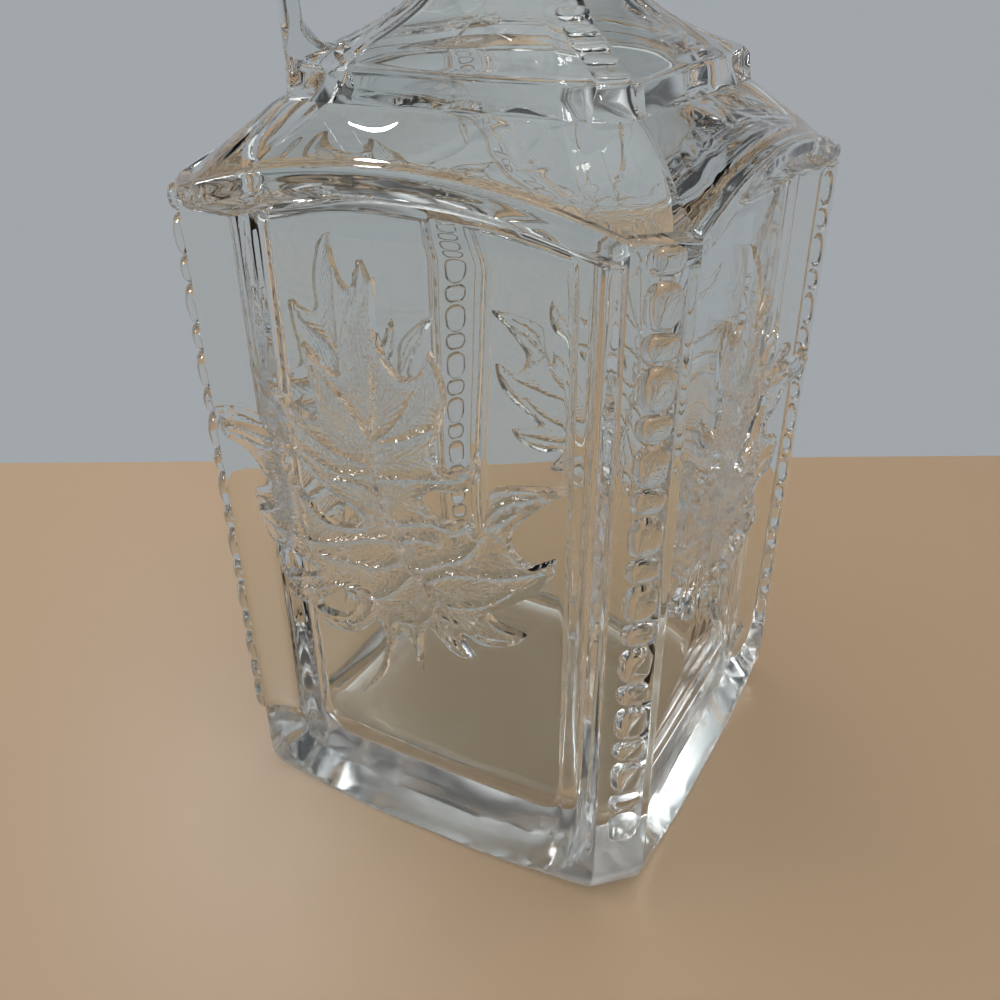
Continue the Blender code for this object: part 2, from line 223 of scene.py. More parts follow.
# %% [markdown]
# The body stands on a rounded toe: the lowest rings are drawn in at the corners and along the
# edges. Towards the top the rings bend up to follow the arch over each panel.

# %% Rings of the body


def face_rows():
    """The body's rings, from the foot to the rim of the shoulder."""
    rows = []
    toe = 2.8
    for z, inset, extra, bow in ((0.0, 1.9, 1.0, 3.3), (0.25, 1.1, 0.9, 3.1), (0.8, 0.45, 0.75, 2.7),
                                 (1.6, 0.12, 0.58, 2.2), (2.6, 0.0, 0.42, 1.6), (3.8, 0.0, 0.28, 1.0),
                                 (5.2, 0.0, 0.15, 0.5), (6.8, 0.0, 0.05, 0.14)):
        rows.append((HALF - inset, CUT + extra * toe, level(z), bow))
    for z in (8.4, 10.0, 12.0, 14.5, 18.0, 26.0, 40.0, 58.0, 76.0, 94.0, 110.0, 120.0):
        rows.append((HALF, CUT, level(z), 0.0))
    for z, lift in ((125.0, 0.25), (128.0, 0.5), (130.5, 0.75), (132.4, 0.94), (133.4, 1.0), (134.2, 1.0),
                    (135.0, 1.0), (135.8, 1.0), (136.6, 1.0), (137.2, 1.0), (137.7, 1.0), (138.3, 1.0)):
        rows.append((HALF, CUT, lambda x, z=z, lift=lift: z + lift * (rim_height(x) - SHOULDER), 0.0))
    return [ring(half, cut, heights, panel_depth, bow=bow) for half, cut, heights, bow in rows]


print("body has", len(face_rows()), "rings")

# %% [markdown]
# Above the arches the skin rolls over a rounded rim, runs in as a shallow roof with hips, steps
# up as a low collar and then flares up into the neck. The plan turns from a square with cut
# corners into a circle on the way, so each ring has a share of roundness.

# %% Rings of the shoulder and neck


def shoulder_rows():
    """The rolled rim, the hipped shoulder, the collar and the neck up to the lip."""
    rows = []
    for drop, inset in ((1.5, 0.0), (0.85, 0.15), (0.35, 0.55), (0.0, 1.2), (-0.1, 2.2)):
        rows.append(ring(HALF - inset, CUT, lambda x, d=drop: rim_height(x) - d, soften=0.2))
    for share in (0.12, 0.28, 0.46, 0.64, 0.82, 0.94):
        half = HALF - 2.2 + share * (36.6 - HALF + 2.2)
        cut = CUT + share * (5.9 - CUT)
        rows.append(ring(half, cut, lambda x, s=share: (1 - s) * (rim_height(x) + 0.1) + s * 153.2,
                         soften=0.5))
    for half, cut, z in ((36.1, 5.7, 153.25), (35.6, 5.5, 153.6), (35.4, 5.5, 154.4), (35.1, 5.2, 156.6),
                         (34.8, 4.6, 158.4), (34.4, 4.5, 159.2), (33.8, 4.6, 159.75), (32.9, 4.5, 160.3)):
        rows.append(ring(half, cut, level(z), soften=0.3))
    for z, half, cut, roundness in ((161.5, 30.4, 4.5, 0.0), (162.8, 27.9, 4.6, 0.03),
                                    (164.4, 25.2, 4.6, 0.07), (166.3, 22.5, 4.5, 0.14),
                                    (168.5, 20.2, 4.3, 0.24), (171.5, 18.2, 4.1, 0.37),
                                    (175.0, 16.7, 3.9, 0.52), (180.0, 15.6, 3.7, 0.72),
                                    (186.0, 15.1, 3.6, 0.88), (194.0, 14.9, 3.6, 0.98),
                                    (203.0, 14.9, 3.6, 1.0), (210.0, 15.2, 3.6, 1.0)):
        rows.append(ring(half, cut, level(z), roundness=roundness, radius=half * 1.03))
    for z, radius in ((212.0, 15.5), (213.2, 16.0), (214.2, 16.7), (215.4, 17.15), (216.8, 17.35),
                      (218.4, 17.35), (219.8, 17.1), (220.9, 16.6), (221.6, 15.9), (221.95, 15.0),
                      (222.0, 14.0), (221.8, 13.0), (221.2, 12.1), (220.2, 11.4), (218.6, 10.95),
                      (216.0, 10.7)):
        rows.append(ring(radius, 3.6, level(z), roundness=1.0, radius=radius))
    return rows


print("shoulder and neck have", len(shoulder_rows()), "rings")

# %% [markdown]
# The inside follows the outside loosely. A plunger or air shapes it, not the mould, so it has no
# panels, its corners are round, and it wanders by a fraction of a millimetre.

# %% Rings of the inside


def wavy(rings_in, amount):
    """Lets an inner skin wander a little, as blown glass does."""
    out = []
    for points in rings_in:
        x, y, z = points.T
        wave = (np.sin(x * 0.11 + 1.3) * np.sin(z * 0.083 + 0.4)
                + np.sin(y * 0.13 - 0.6) * np.sin(z * 0.061 + 2.1)
                + 0.5 * np.sin((x - y) * 0.07 + z * 0.15))
        spread = np.linalg.norm(points[:, :2], axis=1)
        factor = 1.0 + amount * wave / np.maximum(spread, 8.0)
        moved = points.copy()
        moved[:, 0] *= factor
        moved[:, 1] *= factor
        moved[:, 2] += 0.5 * amount * wave * smooth_step(30.0, 8.0, z)
        out.append(moved)
    return out


def hollow_rows():
    """The inside, from the bore of the neck down to the cavity's floor."""
    rows = []
    for z, radius in ((208.0, 10.6), (196.0, 10.6), (186.0, 10.7)):
        rows.append(ring(radius, 3.4, level(z), roundness=1.0, radius=radius))
    for z, half, cut, roundness in ((181.0, 11.0, 3.4, 0.9), (177.0, 11.8, 3.5, 0.78),
                                    (173.0, 13.2, 3.7, 0.62), (169.5, 15.2, 4.1, 0.46),
                                    (166.5, 17.8, 4.7, 0.33), (163.8, 20.8, 5.4, 0.22),
                                    (161.2, 24.0, 6.0, 0.15), (158.4, 27.0, 6.6, 0.11),
                                    (155.2, 29.4, 7.3, 0.08), (151.8, 31.6, 8.0, 0.06),
                                    (148.4, 34.0, 8.6, 0.05), (145.2, 36.6, 9.2, 0.04),
                                    (142.2, 38.9, 9.6, 0.04), (139.4, 40.5, 9.8, 0.04),
                                    (136.6, 41.3, 9.9, 0.04)):
        rows.append(ring(half, cut, level(z), roundness=roundness, radius=half * 1.04, soften=1.2))
    for z in (132.0, 124.0, 112.0, 98.0, 84.0, 70.0, 56.0, 42.0, 30.0, 22.0):
        rows.append(ring(41.5, 9.8, level(z), roundness=0.04, radius=41.5, soften=1.2))
    for z, half, cut in ((17.5, 41.3, 9.9), (14.6, 40.6, 10.2), (12.3, 39.4, 10.6), (10.7, 37.8, 11.0),
                         (9.6, 35.8, 11.4), (9.0, 33.4, 11.4), (8.7, 29.0, 10.4), (8.6, 20.0, 7.2),
                         (8.9, 10.0, 3.6), (9.1, 4.0, 1.4)):
        rows.append(ring(half, cut, level(z), roundness=0.05, radius=half, soften=1.2))
    return wavy(rows, 0.35)


print("inside has", len(hollow_rows()), "rings")

# %% [markdown]
# Neighbouring rings are joined by quads and each end is closed by a fan, so outside and inside
# are one closed skin that meets at the lip.

# %% Loft the bottle


def mesh_object(name, verts=(), faces=(), edges=()):
    """A mesh in the scene from points in metres."""
    mesh = bpy.data.meshes.new(name)
    mesh.from_pydata(verts, edges, faces)
    made = bpy.data.objects.new(name, mesh)
    bpy.context.scene.collection.objects.link(made)
    return made


def loft(name, rings):
    """A closed mesh through rings of one count, capped by a fan at each end."""
    count = len(rings[0])
    points = np.concatenate(rings)
    total = len(points)
    ends = np.array((rings[0].mean(axis=0), rings[-1].mean(axis=0)))
    verts = taper(np.concatenate((points, ends)))
    faces = []
    for row in range(len(rings) - 1):
        low, high = row * count, (row + 1) * count
        for i in range(count):
            j = (i + 1) % count
            faces.append((low + i, low + j, high + j, high + i))
    last = total - count
    faces += [((i + 1) % count, i, total) for i in range(count)]
    faces += [(last + i, last + (i + 1) % count, total + 1) for i in range(count)]
    return mesh_object(name, verts.tolist(), faces)


bottle = loft("decanter_glass", face_rows() + shoulder_rows() + hollow_rows())
print("bottle skin", len(bottle.data.vertices), "points")

# %% [markdown]
# The bosses down each corner post alternate tall and short. One pair is modelled as
# domed pillows, sunk a little into the post. Geometry Nodes then repeat it: a line of points
# down the post, the pair on each point, and four quarter turns of the whole column.

# %% Boss pair
BOSS_PITCH = 13.655
BOSS_TOP = 139.6
PILLOW_TURNS = (0.0, 22.5, 45.0, 67.5)


def rounded_outline(width, height, corner, turns):
    """Points round a rectangle with rounded corners; turns are a corner's steps in degrees."""
    return [(sx * (0.5 * width - corner) + corner * math.cos(math.radians(start + turn)),
             sz * (0.5 * height - corner) + corner * math.sin(math.radians(start + turn)))
            for sx, sz, start in ((1, 1, 0), (-1, 1, 90), (-1, -1, 180), (1, -1, 270)) for turn in turns]


def side_faces(count, layers):
    """Quads between layers of count points each."""
    return [(low + i, low + (i + 1) % count, low + count + (i + 1) % count, low + count + i)
            for low in range(0, (layers - 1) * count, count) for i in range(count)]


def pillow(top, height, width, relief, sink):
    """A domed pillow with a rounded outline, fuller at its upper end: x across, -y out, z up."""
    middle = top - 0.5 * height
    flat = rounded_outline(width, height, 0.46 * min(width, height), PILLOW_TURNS)
    outline = [(x * (1.0 + 0.12 * z / height), z) for x, z in flat]
    verts, count = [], len(outline)
    for out, spread in ((-sink, 1.0), (0.25 * relief, 1.0), (0.62 * relief, 0.88), (0.88 * relief, 0.66),
                        (1.02 * relief, 0.34)):
        verts += [(x * spread, -out, middle + z * spread) for x, z in outline]
    verts.append((0.0, -1.1 * relief, middle + 0.06 * height))
    faces = [tuple(range(count))] + side_faces(count, 5)
    last = 4 * count
    faces += [(last + i, last + (i + 1) % count, len(verts) - 1) for i in range(count)]
    return verts, faces


def solid(name, parts):
    """One object from lists of points (millimetres) and faces, normals outwards."""
    bm = bmesh.new()
    for verts, faces in parts:
        made = [bm.verts.new(Vector(v) * MM) for v in verts]
        for face in faces:
            bm.faces.new([made[i] for i in face])
    bmesh.ops.recalc_face_normals(bm, faces=bm.faces)
    made = mesh_object(name)
    bm.to_mesh(made.data)
    bm.free()
    return made


boss_pair = solid("boss_pair", (pillow(0.0, 4.8, 6.6, 1.7, 1.2), pillow(-5.4, 8.0, 6.7, 1.8, 1.2)))
print("boss pair", len(boss_pair.data.polygons), "faces")

# %% [markdown]
# Node trees are long to write link by link. One helper adds any node with its settings and
# inputs, and a small class lets numbers of a tree be added and multiplied like Python's own.

# %% Node helpers


class Value:
    """A number socket of a node tree; arithmetic on it adds Math nodes."""

    def __init__(self, tree, socket):
        self.tree, self.socket = tree, socket

    def math(self, operation, *parts):
        node = add(self.tree, "ShaderNodeMath", {"operation": operation},
                   **{f"i{k}": part for k, part in enumerate(parts)})
        return Value(self.tree, node.outputs[0])

    def __add__(self, other):
        return self.math("ADD", self, other)

    def __sub__(self, other):
        return self.math("SUBTRACT", self, other)

    def __rsub__(self, other):
        return self.math("SUBTRACT", other, self)

    def __mul__(self, other):
        return self.math("MULTIPLY", self, other)

    __radd__, __rmul__ = __add__, __mul__

    def sine(self):
        return self.math("SINE", self)

    def step(self, low, high):
        """A soft step from 0 at low to 1 at high."""
        node = add(self.tree, "ShaderNodeMapRange", {"interpolation_type": "SMOOTHSTEP"}, i0=self,
                   i1=low, i2=high)
        return Value(self.tree, node.outputs[0])


def node_tree(name, inputs):
    """An empty geometry tree with a geometry input and output and the named numbers."""
    tree = bpy.data.node_groups.new(name, "GeometryNodeTree")
    tree.interface.new_socket("Geometry", in_out="INPUT", socket_type="NodeSocketGeometry")
    tree.interface.new_socket("Geometry", in_out="OUTPUT", socket_type="NodeSocketGeometry")
    for label, kind in inputs.items():
        tree.interface.new_socket(label, in_out="INPUT", socket_type="NodeSocket" + kind)
    return tree


def add(tree, kind, settings=(), **values):
    """A node with settings and with values or links for its inputs, by name or as i and a number."""
    node = tree.nodes.new(kind)
    for key, value in dict(settings).items():
        setattr(node, key, value)
    for key, value in values.items():
        numbered = key[0] == "i" and key[1:].isdigit()
        socket = node.inputs[int(key[1:]) if numbered else key.replace("_", " ")]
        value = value.socket if isinstance(value, Value) else value
        if isinstance(value, bpy.types.NodeSocket):
            tree.links.new(value, socket)
        else:
            socket.default_value = value
    return node


def send_out(tree, geometry, material):
    """Paints a tree's geometry and sends it to the tree's output."""
    painted = add(tree, "GeometryNodeSetMaterial", Geometry=geometry, Material=material)
    tree.links.new(painted.outputs[0], tree.nodes.new("NodeGroupOutput").inputs[0])


# %% [markdown]
# The column is made standing straight, one pitch per boss pair. It is leaned only when it is
# whole, because the posts draw in towards the foot and every boss leans with its post.

# %% Boss columns with Geometry Nodes


def column_tree():
    """Points down a line, a boss pair on each, leaned, set on the post and turned four times."""
    tree = node_tree("boss_columns", {"Count": "Int", "Pitch": "Float", "Top": "Float", "Reach": "Float",
                                      "Lean": "Float", "Material": "Material"})
    given = tree.nodes.new("NodeGroupInput").outputs
    step = add(tree, "ShaderNodeCombineXYZ", Z=Value(tree, given["Pitch"]) * -1.0)
    start = add(tree, "ShaderNodeCombineXYZ", Z=given["Top"])
    line = add(tree, "GeometryNodeMeshLine", Count=given["Count"], Start_Location=start.outputs[0],
               Offset=step.outputs[0])
    column = add(tree, "GeometryNodeInstanceOnPoints", Points=line.outputs[0], Instance=given["Geometry"])
    whole = add(tree, "GeometryNodeRealizeInstances", Geometry=column.outputs[0])
    lean = add(tree, "ShaderNodeCombineXYZ", X=given["Lean"])
    place = add(tree, "ShaderNodeCombineXYZ", Y=Value(tree, given["Reach"]) * -1.0)
    leaned = add(tree, "GeometryNodeTransform", Geometry=whole.outputs[0], Translation=place.outputs[0],
                 Rotation=lean.outputs[0])
    hub = add(tree, "GeometryNodeMeshLine", {"mode": "OFFSET"}, Count=4, Offset=(0.0, 0.0, 0.0))
    index = Value(tree, tree.nodes.new("GeometryNodeInputIndex").outputs[0])
    quarter = index.math("MULTIPLY_ADD", index, math.pi / 2, math.pi / 4)
    turn = add(tree, "ShaderNodeCombineXYZ", Z=quarter)
    turned = add(tree, "GeometryNodeInstanceOnPoints", Points=hub.outputs[0], Instance=leaned.outputs[0],
                 Rotation=turn.outputs[0])
    real = add(tree, "GeometryNodeRealizeInstances", Geometry=turned.outputs[0])
    send_out(tree, real.outputs[0], given["Material"])
    return tree


def run_tree(thing, tree, values):
    """Runs a tree on an object with the named values and keeps the result as its plain mesh."""
    step = thing.modifiers.new(tree.name, "NODES")
    step.node_group = tree
    for item in tree.interface.items_tree:
        if item.in_out == "INPUT" and item.name in values:
            step[item.identifier] = values[item.name]
    graph = bpy.context.evaluated_depsgraph_get()
    mesh = bpy.data.meshes.new_from_object(thing.evaluated_get(graph))
    thing.modifiers.remove(step)
    thing.data = mesh
    return thing


glass = bpy.data.materials.new("clear_glass")
BOSS_COUNT = 9
POST_TOP = (2 * HALF - CUT) * ROOT2
POST_FOOT = POST_TOP * SHRINK
post_lean = math.atan2(POST_TOP - POST_FOOT, SHOULDER)
columns = run_tree(boss_pair, column_tree(), {
    "Count": BOSS_COUNT, "Pitch": BOSS_PITCH * MM, "Top": BOSS_TOP * MM, "Reach": POST_FOOT * MM,
    "Lean": post_lean, "Material": glass})
columns.name = "boss_columns"
print("boss columns", len(columns.data.polygons), "faces")

# %% [markdown]
# The corner of the neck's flare that faces the camera carries a ladder of low rounded bars.
# They follow the flare's own curve, so the nodes resample a line that runs up that corner,
# put one bar on each point and turn it along the line.

# %% Bars on the neck's corner
RIDGE = ((43.3, 160.2), (40.1, 161.5), (36.3, 162.8), (32.2, 164.4), (28.2, 166.3), (24.7, 168.5),
         (21.7, 171.5), (19.4, 175.0), (17.5, 180.0))
BAR_PITCH = 4.3


def rounded_bar(width, height, relief, sink):
    """A low bar with rounded ends and a domed top: x across, -y outwards, z up."""
    outline = rounded_outline(width, height, 0.42 * height, (0, 30, 60, 90))
    verts, count = [], len(outline)
    for out, inset in ((-sink, 0.0), (0.35 * relief, 0.0), (0.85 * relief, 0.3), (relief, 0.8)):
        for x, z in outline:
            verts.append((x * (1.0 - 2.0 * inset / width), -out, z * (1.0 - 2.0 * inset / height)))
    return verts, [tuple(range(count)), tuple(range(3 * count, 4 * count)), *side_faces(count, 4)]


def ladder_tree():
    """A bar on every step of a line, turned along it, the whole ladder turned to its corner."""
    tree = node_tree("neck_ladder",
                     {"Pitch": "Float", "Bar": "Object", "Turn": "Float", "Material": "Material"})
    given = tree.nodes.new("NodeGroupInput").outputs
    curve = add(tree, "GeometryNodeMeshToCurve", Mesh=given["Geometry"])
    steps = add(tree, "GeometryNodeResampleCurve", {"mode": "LENGTH"}, Curve=curve.outputs[0],
                Length=given["Pitch"])
    tangent = tree.nodes.new("GeometryNodeInputTangent")
    turned = add(tree, "FunctionNodeAlignRotationToVector", {"axis": "Z", "pivot_axis": "X"},
                 Vector=tangent.outputs[0])
    bar = add(tree, "GeometryNodeObjectInfo", Object=given["Bar"])
    bars = add(tree, "GeometryNodeInstanceOnPoints", Points=steps.outputs[0],
               Instance=bar.outputs["Geometry"], Rotation=turned.outputs[0])
    real = add(tree, "GeometryNodeRealizeInstances", Geometry=bars.outputs[0])
    spin = add(tree, "ShaderNodeCombineXYZ", Z=given["Turn"])
    placed = add(tree, "GeometryNodeTransform", Geometry=real.outputs[0], Rotation=spin.outputs[0])
    send_out(tree, placed.outputs[0], given["Material"])
    return tree


def line_object(name, points):
    """A chain of edges, in millimetres."""
    return mesh_object(name, [tuple(v * MM for v in p) for p in points],
                       edges=[(i, i + 1) for i in range(len(points) - 1)])


bar = solid("bar", (rounded_bar(6.3, 3.3, 0.55, 0.9),))
ridge_line = [(0.0, -reach, z) for reach, z in RIDGE]
ladder = run_tree(line_object("neck_bars", ridge_line), ladder_tree(), {
    "Pitch": BAR_PITCH * MM, "Bar": bar, "Turn": math.pi / 4, "Material": glass})
bpy.data.objects.remove(bar, do_unlink=True)
print("neck bars", len(ladder.data.polygons), "faces")

# %% [markdown]
# The leaf is a plateau about a millimetre proud of the panel, with a steep edge, raised veins
# and an opening or two where a lobe curls round. Its outline is drawn once, as a list of
# places on the panel. A Delaunay net is laid through the outline, the veins and a loose
# filling of points, and a height function lifts each point. That keeps the edges crisp with
# few faces, where a plain grid would need far more.

# %% Leaf drawing
LEAF_EDGE = ((-6.4, 126.6), (-6.8, 119.7), (-6.1, 114.6), (-4.2, 110.6), (-1.4, 108.7), (1.4, 110.0),
             (4.0, 114.9), (6.2, 112.2), (7.7, 106.5), (6.4, 100.7), (4.4, 95.5), (5.8, 91.9), (8.8, 91.8),
             (11.8, 94.0), (13.6, 97.9), (14.7, 93.8), (13.3, 89.4), (9.9, 86.9), (4.3, 86.0), (1.0, 83.6),
             (3.4, 81.4), (7.4, 80.7), (10.3, 81.3), (12.6, 84.0), (12.8, 80.6), (13.6, 79.8), (15.0, 84.0),
             (16.6, 89.8), (23.5, 92.2), (33.2, 93.3), (28.1, 88.7), (24.0, 84.7), (21.2, 81.0),
             (22.2, 77.3), (25.7, 75.9), (30.6, 78.4), (29.7, 73.1), (26.3, 68.6), (20.7, 64.6),
             (16.4, 61.4), (20.0, 59.9), (24.6, 59.0), (20.9, 54.8), (14.8, 53.3), (9.4, 54.4), (12.4, 49.2),
             (6.5, 49.2), (2.0, 53.0), (-0.6, 50.6), (-1.2, 40.2), (-3.2, 47.2), (-5.8, 49.6), (-8.6, 45.0),
             (-11.9, 36.0), (-19.8, 28.2), (-13.4, 38.4), (-10.9, 46.0), (-11.9, 51.0), (-17.6, 46.3),
             (-24.6, 45.5), (-29.6, 48.7), (-35.6, 51.3), (-36.6, 56.2), (-31.4, 58.0), (-27.2, 60.0),
             (-34.2, 62.4), (-39.6, 66.4), (-41.2, 73.4), (-36.9, 74.2), (-34.2, 77.0), (-38.6, 81.3),
             (-41.8, 86.4), (-45.9, 90.4), (-46.0, 93.8), (-42.5, 93.5), (-38.1, 91.8), (-32.4, 90.2),
             (-32.8, 94.0), (-34.6, 98.9), (-34.5, 103.5), (-32.1, 101.0), (-28.2, 98.1), (-23.0, 96.6),
             (-22.9, 100.6), (-24.4, 106.0), (-24.9, 112.2), (-21.1, 109.4), (-17.8, 107.1), (-15.7, 107.6),
             (-15.9, 112.5), (-14.6, 117.5), (-11.9, 121.9), (-9.3, 125.2))
LEAF_HOLES = (((-31.6, 84.2), (-30.2, 80.2), (-27.0, 76.4), (-22.9, 73.6), (-17.4, 73.8), (-13.8, 75.2),
               (-17.0, 77.9), (-21.8, 80.0), (-26.2, 83.4), (-29.6, 86.4)),
              ((-27.3, 51.3), (-23.6, 54.3), (-20.0, 55.7), (-18.4, 53.8), (-20.1, 51.0), (-24.6, 50.1)))
# Each vein starts on the midrib or a bigger vein and runs out towards a lobe
LEAF_VEINS = (
    ((-7.2, 117.0), (-8.6, 104.5), (-9.6, 93.7), (-10.0, 87.7), (-8.9, 82.4), (-7.3, 77.1), (-4.9, 71.9),
     (-2.2, 67.4), (1.3, 63.6), (3.0, 58.5), (-1.0, 54.0)),
    ((-9.6, 93.7), (-13.9, 99.7), (-18.7, 104.0), (-22.8, 109.2)),
    ((-9.6, 93.7), (-4.6, 97.6), (-0.3, 103.4), (2.9, 110.6)),
    ((-9.6, 93.7), (-4.0, 95.2), (0.4, 97.2), (4.6, 99.6)),
    ((-9.9, 89.0), (-18.3, 89.9), (-26.8, 94.0), (-32.6, 99.9)),
    ((-10.0, 87.2), (-18.0, 85.6), (-27.0, 88.3), (-35.6, 87.9), (-43.6, 91.6)),
    ((-8.6, 81.6), (-12.6, 84.0), (-16.4, 84.1), (-21.0, 83.4)),
    ((-9.6, 86.0), (-3.6, 87.6), (3.4, 89.0), (9.6, 90.6), (12.9, 94.6)),
    ((-8.0, 79.2), (-3.4, 77.9), (3.0, 79.4), (8.6, 78.9), (11.7, 81.4)),
    ((-5.2, 72.6), (-1.0, 74.9), (4.4, 75.4)),
    ((-1.6, 67.2), (5.3, 70.7), (10.0, 73.2), (13.4, 76.7), (16.0, 82.4), (19.2, 87.0), (25.6, 90.2),
     (30.6, 91.9)),
    ((15.4, 81.4), (19.4, 83.9), (22.4, 86.4)),
    ((1.3, 65.2), (8.0, 69.0), (15.8, 70.6), (23.0, 72.8), (28.6, 76.0)),
    ((3.0, 61.6), (9.0, 61.6), (15.6, 64.0), (21.0, 68.2)),
    ((3.0, 58.9), (8.6, 57.2), (15.0, 56.6), (21.2, 57.2)),
    ((2.0, 56.2), (5.6, 52.8), (9.6, 50.6)),
    ((-5.6, 73.2), (-11.6, 72.0), (-18.6, 69.6), (-26.0, 67.6), (-33.6, 68.2), (-38.9, 70.8)),
    ((-3.4, 69.4), (-10.0, 65.6), (-18.4, 64.6), (-26.4, 64.6)),
    ((-1.6, 66.4), (-7.0, 60.4), (-12.6, 57.2), (-15.6, 58.4), (-22.6, 57.6), (-29.6, 54.6), (-33.6, 54.0)),
    ((-12.8, 57.0), (-13.8, 52.6), (-18.6, 48.9), (-24.6, 47.9), (-29.2, 50.6)),
    ((-1.0, 54.0), (-7.6, 52.6), (-9.0, 44.0), (-13.6, 35.6)),
    ((-1.0, 54.0), (-1.2, 44.6)),
)
# Heights, slopes and widths in millimetres
LEAF_HEIGHT = 1.15
LEAF_RIM = 0.9
LEAF_SLOPE = 0.75
VEIN_HEIGHT = 0.85
VEIN_HALF = 0.6
LEAF_ROOT = 1.9


print("leaf drawn with", len(LEAF_EDGE), "places and", len(LEAF_VEINS), "veins")

# %% Line helpers


def smooth_loop(points, step, closed=True):
    """A rounded line through points (Catmull-Rom), with points about a step apart."""
    points = [np.array(p) for p in points]
    count = len(points)
    out = []
    for i in range(count if closed else count - 1):
        if closed:
            a, b, c, d = (points[(i + k) % count] for k in (-1, 0, 1, 2))
        else:
            a, b, c, d = (points[min(max(i + k, 0), count - 1)] for k in (-1, 0, 1, 2))
        steps = max(2, int(np.linalg.norm(c - b) / step))
        for t in np.arange(steps) / steps:
            out.append(0.5 * (2 * b + (c - a) * t + (2 * a - 5 * b + 4 * c - d) * t ** 2
                              + (3 * b - a - 3 * c + d) * t ** 3))
    if not closed:
        out.append(points[-1])
    return np.array(out)


def to_segments(points, lines):
    """For each point: the distance to the nearest of the lines, and how far along that is."""
    best = np.full(len(points), 1e9)
    along = np.zeros(len(points))
    for line in lines:
        a, b = line[:-1], line[1:]
        d = b - a
        run = np.concatenate(([0.0], np.cumsum(np.linalg.norm(d, axis=1))))
        rel = points[:, None, :] - a[None]
        t = np.clip((rel * d).sum(-1) / np.maximum((d * d).sum(-1), 1e-9), 0.0, 1.0)
        far = np.linalg.norm(rel - t[..., None] * d, axis=-1)
        nearest = far.argmin(axis=1)
        rows = np.arange(len(points))
        closer = far[rows, nearest] < best
        best[closer] = far[rows, nearest][closer]
        place = run[nearest] + t[rows, nearest] * np.linalg.norm(d, axis=1)[nearest]
        along[closer] = place[closer]
    return best, along


def inside(points, loop):
    """True for the points inside a closed line."""
    result = np.zeros(len(points), dtype=bool)
    for a, b in zip(loop, np.roll(loop, -1, axis=0)):
        crosses = (a[1] > points[:, 1]) != (b[1] > points[:, 1])
        if crosses.any():
            x = a[0] + (points[:, 1] - a[1]) / (b[1] - a[1] + 1e-12) * (b[0] - a[0])
            result ^= crosses & (points[:, 0] < x)
    return result


edge_line = smooth_loop(LEAF_EDGE, 0.75)
hole_lines = [smooth_loop(hole, 0.75) for hole in LEAF_HOLES]
vein_lines = [smooth_loop(vein, 0.8, closed=False) for vein in LEAF_VEINS]
closed_lines = [np.vstack((line, line[:1])) for line in (edge_line, *hole_lines)]
print("leaf edge", len(edge_line), "points,", len(vein_lines), "veins")

# %% Leaf relief


def leaf_height(points):
    """The leaf's height over the panel: steep edge, crowned plateau and raised veins."""
    to_edge = to_segments(points, closed_lines)[0]
    to_vein = to_segments(points, vein_lines)[0]
    rise = smooth_step(0.0, LEAF_SLOPE, to_edge)
    lip = LEAF_RIM * np.exp(-((to_edge - 0.95) / 0.6) ** 2)
    crown = 0.35 * smooth_step(0.5, 7.0, to_edge)
    vein = VEIN_HEIGHT * np.exp(-(to_vein / VEIN_HALF) ** 2)
    swell = 0.16 * np.sin(points[:, 0] * 0.7 + 1.0) * np.sin(points[:, 1] * 0.55)
    return rise * (LEAF_HEIGHT + lip + crown + vein + swell) - 0.25 * (1.0 - rise)


print("leaf stands", LEAF_HEIGHT, "mm proud, its veins", VEIN_HEIGHT, "mm more")

# %% [markdown]
# The net is closest where the height bends most: along the edge and along the veins. Elsewhere
# a loose grid is enough. Points that fall too near to a kept one are left out.

# %% Leaf net


def square_to(ahead):
    """Unit vectors square to a line, from its steps."""
    normal = np.stack((-ahead[:, 1], ahead[:, 0]), axis=1)
    return normal / np.linalg.norm(normal, axis=1)[:, None]


